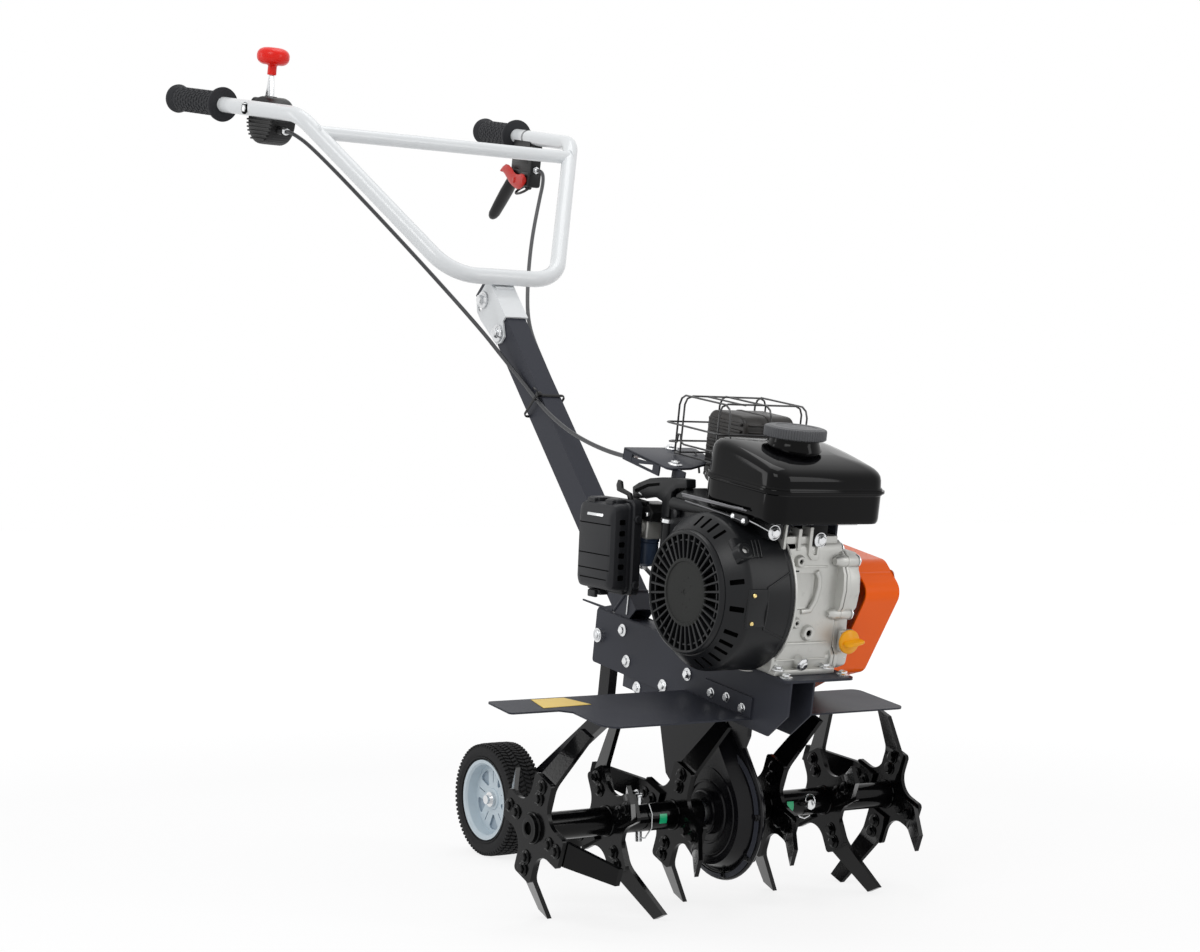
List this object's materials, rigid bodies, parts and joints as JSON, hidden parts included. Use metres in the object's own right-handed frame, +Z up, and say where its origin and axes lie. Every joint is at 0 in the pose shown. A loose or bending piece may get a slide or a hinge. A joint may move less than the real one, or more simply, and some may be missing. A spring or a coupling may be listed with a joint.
{
  "type": "garden tiller",
  "caption": "Front-tine garden tiller with a small petrol engine, a tined rotor, one folding transport wheel and a wide tubular handlebar.",
  "frame": {"origin": "centre of the bounding box at floor level, standing on the tines and the transport wheel", "axes": "+X forward towards the engine, +Y to the operator's left, +Z up"},
  "size_m": [1.2012, 0.578, 1.1252],
  "materials": {
    "frame_anthracite": "satin",
    "handlebar_white": "gloss",
    "tine_black": "gloss",
    "steel_zinc": "satin",
    "tyre_rubber": "matte",
    "rim_plastic": "satin",
    "grip_rubber": "matte",
    "black_plastic": "satin",
    "red_plastic": "gloss",
    "engine_aluminium": "satin",
    "shroud_plastic": "satin",
    "tank_black": "gloss",
    "guard_orange": "gloss",
    "dipstick_amber": "gloss",
    "exhaust_steel": "rough",
    "pulley_iron": "satin"
  },
  "bodies": {
    "chassis": {"side_plate_right": "frame_anthracite", "side_plate_left": "frame_anthracite", "engine_deck": "frame_anthracite", "fender_right": "frame_anthracite", "fender_left": "frame_anthracite", "column": "frame_anthracite", "case_carrier": "tine_black", "case_dish_right": "tine_black", "case_dish_left": "tine_black", "strut_pin": "steel_zinc", "bracket_bolts": "steel_zinc", "crankcase": "engine_aluminium", "crankcase_cover": "engine_aluminium", "cylinder": "engine_aluminium", "dipstick": "dipstick_amber", "blower_shroud": "shroud_plastic", "recoil_cover": "shroud_plastic", "fuel_tank": "tank_black", "fuel_cap": "black_plastic", "tank_rack": "steel_zinc", "air_filter": "black_plastic", "carburettor": "engine_aluminium", "muffler": "exhaust_steel", "muffler_cage": "tine_black", "throttle_bracket": "steel_zinc", "belt_guard": "guard_orange", "engine_pulley": "pulley_iron", "input_pulley": "pulley_iron", "throttle_cable": "black_plastic", "clutch_cable": "black_plastic", "cable_tie": "black_plastic"},
    "rotor": {"tines_inner_left": "tine_black", "tines_middle_left": "tine_black", "tines_outer_left": "tine_black", "tines_inner_right": "tine_black", "tines_middle_right": "tine_black", "tines_outer_right": "tine_black", "tine_tube_left": "tine_black", "tine_tube_right": "tine_black", "output_shaft": "steel_zinc", "hitch_pins": "steel_zinc"},
    "handlebar": {"handlebar": "handlebar_white", "handlebar_bracket": "handlebar_white", "grip_right": "grip_rubber", "grip_left": "grip_rubber", "throttle_drum": "black_plastic", "throttle_lever": "steel_zinc", "throttle_knob": "red_plastic", "clutch_mount": "black_plastic", "clutch_lever": "black_plastic", "clutch_lock": "red_plastic"},
    "strut": {"wheel_strut": "frame_anthracite", "wheel_axle": "steel_zinc"},
    "wheel": {"tyre": "tyre_rubber", "rim": "rim_plastic"}
  },
  "joints": [
    {"name": "rotor_spin", "type": "hinge", "parent": "chassis", "child": "rotor", "pos_m": [0.399, 0.003, 0.11121], "axis": [0, 1, 0], "continuous": true},
    {"name": "handlebar_tilt", "type": "hinge", "parent": "chassis", "child": "handlebar", "pos_m": [-0.07943, 0.003, 0.70328], "axis": [0, 1, 0], "range_deg": [0, 12], "deforming": ["throttle_cable", "clutch_cable"]},
    {"name": "strut_fold", "type": "hinge", "parent": "chassis", "child": "strut", "pos_m": [0.17149, 0.003, 0.30669], "axis": [0, 1, 0], "range_deg": [0, 75]},
    {"name": "wheel_spin", "type": "hinge", "parent": "strut", "child": "wheel", "pos_m": [-0.05298, -0.031, 0.076], "axis": [0, 1, 0], "continuous": true}
  ]
}
